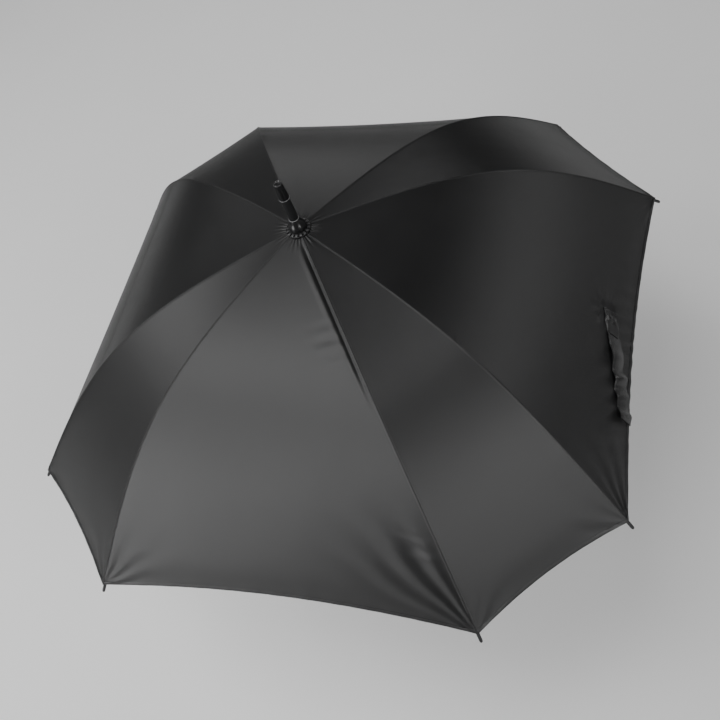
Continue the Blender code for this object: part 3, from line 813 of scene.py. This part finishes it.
def make_rosette():
    """A washer over the crown, coloured darker as painted shade in the notches, with raised radial teeth
    coloured lighter as painted highlight on their ridges, and a smooth rim.
    """
    section = [(BORE_R, 0.0003), (0.0210, 0.0003), (0.0213, 0.0007), (0.0211, 0.0013), (0.0206, 0.0015),
               (0.0201, 0.0012), (0.0199, 0.0006), (0.0156, 0.0006), (0.0153, 0.0010), (0.0151, 0.0031),
               (BORE_R, 0.0031)]
    turned_piece("rosette_washer", section, ROSETTE_PAINTED_SHADE, "shaft", CROWN_Z, ("rosette",), slot="crown_rosette",
                 ease=0.00015)
    teeth, low, edge, parts = 16, 0.0005, 0.0003, []
    stations = ((0.0153, 0.00150, 0.0026), (0.0160, 0.00165, 0.0027), (0.0180, 0.00185, 0.0025),
                (0.0196, 0.00190, 0.0021), (0.0202, 0.00175, 0.0016), (0.0204, 0.00140, 0.0012))
    for i in range(teeth):
        rings = []
        for r, half, top in stations:
            rings.append([(r, -half, low), (r, -half, top - edge), (r, edge - half, top),
                          (r, half - edge, top), (r, half, top - edge), (r, half, low)])
        points, faces = loft(rings)
        parts.append((turned_to(points, 2 * math.pi * (i + 0.25) / teeth), faces))
    points, faces = merged(parts)
    piece("rosette_teeth", points, faces, TEETH_PAINTED_LIGHT, "shaft", smooth=30.0, slot="crown_rosette")


def make_shaft():
    """The slotted tube, thicker where it shows above the dome."""
    low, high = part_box("shaft")
    inner, edge, steps = SHAFT_R - SHAFT_WALL, 0.0002, 96
    thick_low, thick_high = CROWN_Z + DOME_HIGH + 0.0003, CROWN_Z + FERRULE_LOW - 0.0003
    outline = [(SHAFT_R, z) for z in np.linspace(low.z, thick_low, 36)]
    outline += [(SHAFT_END_R - edge, thick_low), (SHAFT_END_R, thick_low + edge)]
    outline += [(SHAFT_END_R, thick_high - edge), (SHAFT_END_R - edge, thick_high), (SHAFT_R, thick_high)]
    outline += [(SHAFT_R, high.z), (inner, high.z), (inner, low.z)]
    points, faces = lathe(outline, steps)
    around = np.linspace(0, 2 * math.pi, steps, endpoint=False) * SHAFT_R
    uv = [(a, z) for _, z in outline for a in around]
    item = piece("shaft_tube", points, faces, WOVEN, "shaft", uv=uv, stands_for=("shaft",),
                 slot="woven_shaft")
    top = CROWN_Z - RUNNER_DROP - DRIVE_PIN_DROP + 2 * DRIVE_PIN_HALF
    bottom = top - RUNNER_TRAVEL - 4 * DRIVE_PIN_HALF
    carve(item, *brick((inner - 0.002, -SLOT_HALF, bottom), (SHAFT_R + 0.002, SLOT_HALF, top)))


make_ferrule()
make_dome()
make_rosette()
make_shaft()


# ---- notch, runner and spring


def slots(inner, low, high):
    """Eight radial slots, one for each rib or stretcher, as one cutter."""
    corners = (inner, -NOTCH_SLOT_HALF, low), (0.020, NOTCH_SLOT_HALF, high)
    points, faces = brick(*corners)
    return merged([(turned_to(points, azimuth, 0.0), faces) for azimuth in RIB_AZIMUTHS])


def ring_wire(name, radius, height, body, finish):
    """The binding wire that threads the eyes of ribs or stretchers."""
    turn = np.linspace(0, 2 * math.pi, 96, endpoint=False)
    path = np.column_stack([radius * np.cos(turn), radius * np.sin(turn), np.full(96, height)])
    points, faces = tube(path, 0.00045, 8, closed=True)
    piece(name, points, faces, finish, body)


def make_notch():
    """The hub under the cloth that the ribs hinge in."""
    low, high, reach = NOTCH_LOW, NOTCH_HIGH, 0.0155
    outline = [(BORE_R, low), (0.0125, low), (reach, low + 0.0025), (reach, high - 0.0005),
               (0.0150, high), (BORE_R, high)]
    item = turned_piece("top_notch_hub", outline, PLASTIC, "shaft", CROWN_Z, ("top_notch",),
                        slot="black_plastic")
    carve(item, *slots(HINGE[0] - 0.00225, CROWN_Z + low - 0.002, CROWN_Z + high + 0.002))
    ring_wire("notch_wire", HINGE[0], CROWN_Z + HINGE[1], "shaft", STEEL)


def make_runner():
    """The sliding sleeve, with its drive pin and the plunger that the spring pushes."""
    base = CROWN_Z - RUNNER_DROP
    pin = base - DRIVE_PIN_DROP
    top, lip, bottom = 0.0055, -0.0060, -0.0400
    outline = [
        (BORE_R, bottom), (0.0098, bottom), (0.0106, bottom + 0.0010), (0.0106, bottom + 0.0040),
        (0.0098, bottom + 0.0075), (0.0096, lip - 0.0100), (0.0102, lip - 0.0045), (0.0150, lip),
        (0.0158, lip + 0.0010), (0.0158, top - 0.0010), (0.0150, top), (BORE_R, top),
    ]
    item = turned_piece("runner_sleeve", outline, PLASTIC, "runner", base, ("runner",),
                        slot="black_plastic")
    carve(item, *slots(RUNNER_PIVOT_R - 0.0018, base + lip - 0.012, base + top + 0.002))
    ring_wire("runner_wire", RUNNER_PIVOT_R, base, "runner", STEEL)
    for i in range(3):
        z = base - 0.0290 + 0.0030 * i
        ridge = [(0.00955, z - 0.0005), (0.0101, z - 0.0003), (0.0101, z + 0.0003), (0.00955, z + 0.0005)]
        turned_piece(f"runner_grip_ring_{i + 1}", ridge, PLASTIC, "runner", ease=0.0002, steps=64)
    points, faces = brick((0.0, -0.0010, pin - DRIVE_PIN_HALF), (0.0090, 0.0010, pin + DRIVE_PIN_HALF))
    piece("drive_pin", points, faces, STEEL, "runner", smooth=None)
    low, high = pin - 0.0080, pin + 0.0040
    head = [(0.0004, low), (0.0048, low), (0.0048, high), (0.0004, high)]
    turned_piece("spring_plunger", head, PLASTIC, "runner", steps=32)


def make_spring():
    """The long opening spring, a coil of round wire."""
    turns, per_turn, wire, coil = 72, 14, 0.00055, 0.0046
    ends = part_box("opening_spring")
    low, high = ends[0].z + wire, ends[1].z - wire
    turn = np.linspace(0, 2 * math.pi * turns, turns * per_turn + 1)
    path = np.column_stack([coil * np.cos(turn), coil * np.sin(turn), np.linspace(low, high, len(turn))])
    points, faces = tube(path, wire, 6)
    item = piece("opening_spring_coil", points, faces, STEEL, "shaft", stands_for=("opening_spring",),
                 slot="spring_steel")
    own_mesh(item)


make_notch()
make_runner()
make_spring()


# ---- ribs, stretchers and tips


def rib_frame(s):
    """The middle of a rib at s, x and z in its radial plane, and the slope there."""
    x, z = below(s, RIB_DROP)
    return float(x), float(z), float(fabric(s)[2])


def bar(stations, sides=20):
    """A bar along a rib. Stations are (s, half width, half height, side)."""
    rings = []
    for s, half_width, half_height, side in stations:
        x, z, slope = rib_frame(s)
        along = (math.cos(slope), -math.sin(slope))
        rings.append(oval(x, z, along, half_width, half_height, side, sides))
    return loft(rings)


def rod_stations(start, end, count, thick, thin):
    """Stations of a round rod that thins from its start to its end."""
    stations = []
    for i in range(count):
        share = i / (count - 1)
        radius = thick + (thin - thick) * share
        stations.append((start + (end - start) * share, radius, radius, 0.0))
    return stations


def link_plate():
    """The flat link between the rib's elbow and the stretcher's eye."""
    angle = math.atan2(EYE[1] - ELBOW[1], EYE[0] - ELBOW[0])
    outline = []
    for centre, begin in ((ELBOW, angle + math.pi / 2), (EYE, angle - math.pi / 2)):
        for turn in np.linspace(begin, begin + math.pi, 13):
            outline.append((centre[0] + 0.0022 * math.cos(turn), centre[1] + 0.0022 * math.sin(turn)))
    return loft([[(x, y, z) for x, z in outline] for y in (0.0003, 0.0016)])


def rivet(x, z, radius):
    """A pin across the rib's plane, with domed heads."""
    half = 0.0018
    head = ((0.0006, 0.35), (0.0004, 0.8), (0.0, 1.0), (-0.0001, 0.6))
    outline = [(-half - out, share) for out, share in head]
    outline += [(half + out, share) for out, share in reversed(head)]
    turn = np.linspace(0, 2 * math.pi, 16, endpoint=False)
    rings = []
    for y, share in outline:
        rings.append([(x + radius * share * math.cos(a), y, z + radius * share * math.sin(a)) for a in turn])
    return loft(rings)


def tie_loop(s):
    """Two turns of thread round a rib, knotted to the seam."""
    x, z, slope = rib_frame(s)
    ahead, down = math.cos(slope), math.sin(slope)
    path = []
    for i in range(49):
        turn = 4 * math.pi * i / 48
        shift = 0.0007 * (i / 48 - 0.5)
        lift, across = 0.0022 * math.sin(turn), 0.0021 * math.cos(turn)
        if lift > 0:
            lift *= 1.35
        path.append((x + shift * ahead + lift * down, across, z - shift * down + lift * ahead))
    return tube(path, 0.00022, 6)


def make_rib(number, azimuth):
    """One rib in its two halves, with its joint, thread ties, stretcher and tip."""
    label = number + 1
    inner, outer = f"rib_inner_{label}", f"rib_outer_{label}"
    stations = [(-0.0012, 0.0012, 0.0008, 0.0), (-0.0004, 0.0012, 0.0015, 0.0),
                (0.002, 0.0012, 0.00175, 0.0), (0.009, 0.0012, 0.00175, 0.0)]
    stations += rod_stations(0.013, JOINT_S - 0.016, 25, 0.00175, 0.00175)
    stations += [(JOINT_S - 0.008, 0.00075, 0.0019, 0.00095), (JOINT_S + 0.0003, 0.00075, 0.0019, 0.00095)]
    rod = merged([bar(stations), link_plate()])
    radial_piece(f"{inner}_rod", rod, azimuth, RIB, inner, stands_for=(inner,), slot="rib_glass")
    rivets = merged([rivet(*ELBOW, 0.0013), rivet(*EYE, 0.0012)])
    radial_piece(f"rivets_{label}", rivets, azimuth, STEEL, inner)

    stations = [(JOINT_S - 0.0014, 0.00075, 0.0010, -0.00095), (JOINT_S, 0.00075, 0.0018, -0.00095),
                (JOINT_S + 0.006, 0.00075, 0.0018, -0.00095)]
    stations += rod_stations(JOINT_S + 0.014, RIB_LENGTH - 0.004, 29, 0.00175, 0.00130)
    radial_piece(f"{outer}_rod", bar(stations), azimuth, RIB, outer, stands_for=(outer,),
                 slot="rib_glass")

    for part, places in (("inner", TIE_STATIONS[:2]), ("outer", TIE_STATIONS[3:])):
        loops = merged([tie_loop(s) for s in places])
        radial_piece(f"ties_{label}_{part}", loops, azimuth, THREAD, f"rib_{part}_{label}")

    make_stretcher(label, azimuth)
    make_tip(label, azimuth)


def make_stretcher(label, azimuth):
    """A square bar from the rib's eye down to the runner, flattened at its upper end."""
    run = (RUNNER_PIVOT_R - EYE[0], -RUNNER_DROP - EYE[1])
    length = math.hypot(*run)
    unit = (run[0] / length, run[1] / length)
    stations = [(-0.0016, 0.00075, 0.0008, -0.00095), (-0.0004, 0.00075, 0.0016, -0.00095),
                (0.0060, 0.00075, 0.0016, -0.00095), (0.0130, 0.0014, 0.0014, 0.0)]
    stations += [(0.0130 + (length - 0.025) * i / 12, 0.0014, 0.0014, 0.0) for i in range(1, 13)]
    stations += [(length - 0.0080, 0.0012, 0.0014, 0.0), (length, 0.0012, 0.0014, 0.0),
                 (length + 0.0010, 0.0012, 0.0008, 0.0)]
    rings = []
    for at, half_width, half_height, side in stations:
        x, z = EYE[0] + unit[0] * at, EYE[1] + unit[1] * at
        rings.append(oval(x, z, unit, half_width, half_height, side, 20, 0.75))
    body = f"stretcher_{label}"
    radial_piece(f"{body}_bar", loft(rings), azimuth, COATED, body, stands_for=(body,),
                 slot="stretcher_steel")


def make_tip(label, azimuth):
    """A moulded cap over the rib's end, with a collar where the cloth is sewn on."""
    start, end = RIB_LENGTH - 0.0160, RIB_LENGTH + 0.0172
    outer = [(start, 0.0017), (start, 0.0023), (start + 0.0012, 0.0027), (start + 0.008, 0.0027),
             (start + 0.0095, 0.0023), (start + 0.012, 0.0023), (start + 0.0135, 0.0027),
             (end - 0.0045, 0.00275), (end - 0.0025, 0.0025), (end - 0.0012, 0.0020),
             (end - 0.0004, 0.0012), (end, 0.0004)]
    cap = bar([(s, radius, radius, 0.0) for s, radius in outer], 24)
    name, body = f"rib_tip_{label}", f"rib_outer_{label}"
    radial_piece(f"{name}_cap", cap, azimuth, PLASTIC, body, stands_for=(name,), slot="black_plastic")
    wrap, thread = [], 0.00245
    for i in range(61):
        turn = 10 * math.pi * i / 60
        x, z, slope = rib_frame(start + 0.0098 + 0.0020 * i / 60)
        lift, across = thread * math.sin(turn), thread * math.cos(turn)
        wrap.append((x + lift * math.sin(slope), across, z + lift * math.cos(slope)))
    radial_piece(f"{name}_sewing", tube(wrap, 0.0002, 5), azimuth, THREAD, body)


for number, azimuth in enumerate(RIB_AZIMUTHS):
    make_rib(number, azimuth)


# ---- tie strap


STRAP_START = (0.612, 0.021)
STRAP_END = (0.670, -0.165)
STRAP_HALF = 0.0155
STRAP_LENGTH = 0.195
STRAP_STITCH = 0.0030


def strap_points(along, across, lift):
    """Points over the first wide gore: along 0..1 from the sewn end, across -1..1."""
    s = STRAP_START[0] + (STRAP_END[0] - STRAP_START[0]) * along + across * STRAP_HALF
    y = STRAP_START[1] + (STRAP_END[1] - STRAP_START[1]) * along
    r, z, slope = fabric(s)
    middle = np.arctan2(np.tan(slope), math.cos(WIDE_HALF))
    t = y / (r * math.sin(WIDE_HALF))
    relief = gore_relief("gore_wide_1", WIDE_HALF, s, t, hem_at(t, WIDE_SAG)) + lift
    return np.stack([r * math.cos(WIDE_HALF) + relief * np.sin(middle), y, z + relief * np.cos(middle)], -1)


def strap_lift(along, across):
    """How far the strap stands off the cloth: sewn flat at its start, rippled along its free length."""
    free = np.clip((along - 0.22) / 0.10, 0.0, 1.0)
    ripple = 0.0021 * np.sin(2 * math.pi * 5.4 * along + 1.1 * np.sin(7 * along) + 0.9 * across)
    arch = 0.0010 * (1 - across * across)
    tilt = 0.0010 * across * np.sin(2 * math.pi * 1.6 * along + 0.4)
    return 0.0008 + free * (0.0030 + ripple + arch + tilt)


def strap_edge(along, across):
    """The strap's outer edge is pulled into shallow scallops by its stitches."""
    return np.where(across < 0.5, across, across * (1 + 0.045 * np.sin(along * 2 * math.pi * 9)))


def strap_sheet(name, first, last, low_side, high_side, thick, lift, finish, rows=80, columns=15):
    """One layer of the strap, a closed sheet between two places along and across it."""
    along, across = np.meshgrid(
        np.linspace(first, last, rows), np.linspace(low_side, high_side, columns), indexing="ij"
    )
    side = strap_edge(along, across)
    rim = 0.0003 * (1 - np.abs(np.linspace(-1, 1, columns)) ** 6)
    height = strap_lift(along, across) + lift
    top = strap_points(along, side, height + thick / 2 + rim)
    under = strap_points(along, side, height - thick / 2)
    uv = np.tile(np.column_stack([across.ravel() * STRAP_HALF, along.ravel() * STRAP_LENGTH]), (2, 1))
    return radial_piece(name, sheet_solid(top, under, rows, columns), 0.0, finish, "gore_wide_1_outer",
                        smooth=50.0, uv=uv, slot="strap_cloth")


def strap_stitches(name, lines):
    """Stitches along straight lines on the strap, each from one (along, across) to another."""
    parts = []
    for (a0, c0), (a1, c1) in lines:
        length = math.hypot((a1 - a0) * STRAP_LENGTH, (c1 - c0) * STRAP_HALF)
        count = max(2, int(length / STRAP_STITCH))
        share = (np.arange(count)[:, None] + np.array([0.14, 0.5, 0.86])) / count
        a, c = a0 + (a1 - a0) * share, c0 + (c1 - c0) * share
        for path in strap_points(a, c, strap_lift(a, c) + 0.00085):
            parts.append(tube(path, 0.00018, 4))
    return radial_piece(name, merged(parts), 0.0, THREAD, "gore_wide_1_outer", slot="strap_cloth")


def make_strap():
    """The band with its cross-stitched start, folded end and hook-and-loop patch."""
    body = strap_sheet("tie_strap_band", 0.0, 0.90, -1.0, 1.0, 0.0010, 0.0, STRAP)
    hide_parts("tie_strap")
    end = strap_sheet("tie_strap_end", 0.905, 1.0, -0.96, 0.96, 0.0016, 0.0004, STRAP, 20, 13)
    patch = strap_sheet("tie_strap_patch", 0.115, 0.235, -0.78, 0.70, 0.0010, 0.0011, LOOPS, 30, 13)
    sewn = strap_stitches("tie_strap_stitches", [
        ((0.02, -0.86), (0.02, 0.86)), ((0.09, -0.86), (0.09, 0.86)), ((0.02, -0.86), (0.09, 0.86)),
        ((0.02, 0.86), (0.09, -0.86)), ((0.09, 0.86), (0.90, 0.86)), ((0.09, -0.88), (0.90, -0.88)),
        ((0.925, -0.84), (0.925, 0.84)), ((0.985, -0.84), (0.985, 0.84)),
    ])
    for item in (body, end, patch, sewn):
        squash_gore(item)


make_strap()


# ---- handle


def make_handle():
    """The flat end cap, the grip and the collar that holds the push button."""
    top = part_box("handle_end_cap")[1].z
    cap = [(0.0004, 0.0), (0.0145, 0.0), (0.0160, 0.0010), (0.0166, 0.0030), (0.0165, 0.0095),
           (0.0158, top), (0.0004, top)]
    turned_piece("handle_end_cap_shell", cap, GLOSS, "shaft", 0.0, ("handle_end_cap",),
                 slot="black_gloss", ease=0.0009)
    make_grip()
    make_collar()


def make_grip():
    """A tapered soft sleeve, gently waved and ringed with fine grooves."""
    low, high = (corner.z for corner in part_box("handle_grip"))
    outline = [(BORE_R, low), (0.0155, low)]
    count = 150
    for i in range(1, count):
        share = i / count
        swell = 0.0012 * math.sin(math.pi * share) + 0.0004 * math.cos(6 * math.pi * share)
        radius = 0.0156 - 0.0026 * share + swell
        if 0.12 < share < 0.88:
            radius -= 0.00045 * (0.5 + 0.5 * math.cos(2 * math.pi * (share - 0.12) / 0.038)) ** 6
        outline.append((radius, low + (high - low) * share))
    outline += [(0.0127, high), (BORE_R, high)]
    points, faces = lathe(outline, 96)
    piece("handle_grip_sleeve", points, faces, GRIP, "shaft", smooth=60.0, stands_for=("handle_grip",),
          slot="soft_grip")


def make_collar():
    """The glossy collar over the grip, with a pocket for the push button."""
    low, high = (corner.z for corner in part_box("handle_collar"))
    outline = [(BORE_R, low), (0.0128, low), (0.0134, low + 0.0012), (0.0132, high - 0.0100),
               (0.0126, high - 0.0050), (0.0118, high - 0.0015), (0.0108, high), (BORE_R, high)]
    item = turned_piece("handle_collar_shell", outline, GLOSS, "shaft", 0.0, ("handle_collar",),
                        slot="black_gloss", ease=0.0008)
    button_low, button_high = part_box("push_button")
    middle = (button_low.z + button_high.z) / 2
    carve(item, *brick((-0.0048, -0.0200, middle - 0.0083), (0.0048, -0.0060, middle + 0.0083)))
    band = [(0.0127, low - 0.0002), (0.0137, low), (0.01385, low + 0.0008), (0.0137, low + 0.0016),
            (0.0130, low + 0.0018)]
    turned_piece("handle_collar_ring", band, TRIM, "shaft", ease=0.0003)
    make_button(button_low, button_high, middle)


def make_button(low, high, middle):
    """A thumb pad with rounded corners and three raised bars."""
    rings = []
    half_x, half_z = (high.x - low.x) / 2, (high.z - low.z) / 2
    for y, inset in ((high.y, 0.0), (low.y + 0.0010, 0.0), (low.y + 0.0004, 0.0003),
                     (low.y + 0.0001, 0.0008), (low.y, 0.0016)):
        ring = []
        for k in range(48):
            turn = 2 * math.pi * k / 48
            x = math.copysign(abs(math.cos(turn)) ** 0.35, math.cos(turn)) * (half_x - inset)
            z = math.copysign(abs(math.sin(turn)) ** 0.35, math.sin(turn)) * (half_z - inset)
            ring.append((x, y, middle + z))
        rings.append(ring)
    points, faces = loft(rings)
    piece("push_button_pad", points, faces, PLASTIC, "push_button", stands_for=("push_button",),
          slot="black_plastic")
    for i in range(3):
        z = middle + 0.0026 * (i - 1)
        path = [(x, low.y - 0.0001, z) for x in np.linspace(-half_x * 0.6, half_x * 0.6, 9)]
        points, faces = tube(path, 0.0004, 8)
        piece(f"push_button_bar_{i + 1}", points, faces, PLASTIC, "push_button")


make_handle()


# ---- floor, light and camera


def floor_finish():
    """Pale, matt and almost even."""
    m = Nodes("pale_floor")
    tone = m.noise(3.0, 2.0)
    m.feed("Base Color", m.mix(tone, (0.88, 0.88, 0.88), (0.91, 0.91, 0.91)))
    m.set(Roughness=0.9)
    return m.made


def make_floor():
    """A level ground just under the handle's end."""
    size = 14.0
    points = [(-size, -size, -0.002), (size, -size, -0.002), (size, size, -0.002), (-size, size, -0.002)]
    floor = piece("floor", points, [(0, 1, 2, 3)], floor_finish(), None, smooth=None)


def softbox(name, azimuth, elevation, width, height, radiance, distance=4.0):
    """An area light that faces the canopy from a direction given in degrees."""
    target = Vector((0.0, 0.0, CROWN_Z - 0.10))
    turn, rise = math.radians(azimuth), math.radians(elevation)
    direction = Vector((math.cos(turn) * math.cos(rise), math.sin(turn) * math.cos(rise), math.sin(rise)))
    data = bpy.data.lights.new(name, "AREA")
    data.shape = "RECTANGLE"
    data.size, data.size_y = width, height
    data.energy = radiance * math.pi * width * height
    light = bpy.data.objects.new(name, data)
    bpy.context.scene.collection.objects.link(light)
    light.location = target + direction * distance
    light.rotation_mode = "QUATERNION"
    light.rotation_quaternion = (-direction).to_track_quat("-Z", "Y")


def make_light():
    """A dim white world and softboxes that draw the highlights on the cloth."""
    world = bpy.data.worlds.new("studio")
    world.use_nodes = True
    world.node_tree.nodes["Background"].inputs["Color"].default_value = (1.0, 1.0, 1.0, 1.0)
    world.node_tree.nodes["Background"].inputs["Strength"].default_value = 0.07
    bpy.context.scene.world = world
    # azimuth and elevation in degrees, width, height and radiance
    for name, *values in (
        ("key", -148, 54, 1.5, 1.4, 5.4),
        ("front", -123, 28, 1.5, 2.7, 5.0),
        ("low_front", -126, 4, 1.9, 0.9, 4.5),
        ("left", 168, 34, 1.5, 1.4, 4.4),
        ("high_left", 172, 64, 1.4, 1.4, 3.2),
        ("low_left", -178, 14, 1.4, 1.2, 1.2),
        ("right", -34, 27, 1.5, 2.5, 4.8),
        ("far_right", 30, 27, 1.4, 1.4, 3.2),
        ("back", 110, 18, 1.4, 1.4, 2.0),
        ("back_left", 150, 48, 1.4, 1.4, 1.0),
        ("top", -95, 78, 1.4, 1.4, 6.0),
    ):
        softbox(f"{name}_softbox", *values)


def make_camera():
    """Stands where the object's picture is seen from; the roll is part of that view."""
    turn = Matrix.Rotation(math.radians(13.204), 3, "Z")
    place = turn @ Vector((0.39932, -1.08160, 1.12380))
    right = turn @ Vector((0.96488556, -0.00771700, -0.26255722))
    down = turn @ Vector((-0.15560645, -0.82208818, -0.54768390))
    back = right.cross(-down)
    data = bpy.data.cameras.new("camera")
    data.sensor_width = 36.0
    data.lens = 49.624
    data.clip_end = 60.0
    camera = bpy.data.objects.new("camera", data)
    bpy.context.scene.collection.objects.link(camera)
    rotation = Matrix((right, -down, back)).transposed()
    camera.matrix_world = Matrix.Translation(place + Vector((0, 0, CROWN_Z))) @ rotation.to_4x4()
    bpy.context.scene.camera = camera


make_floor()
make_light()
make_camera()
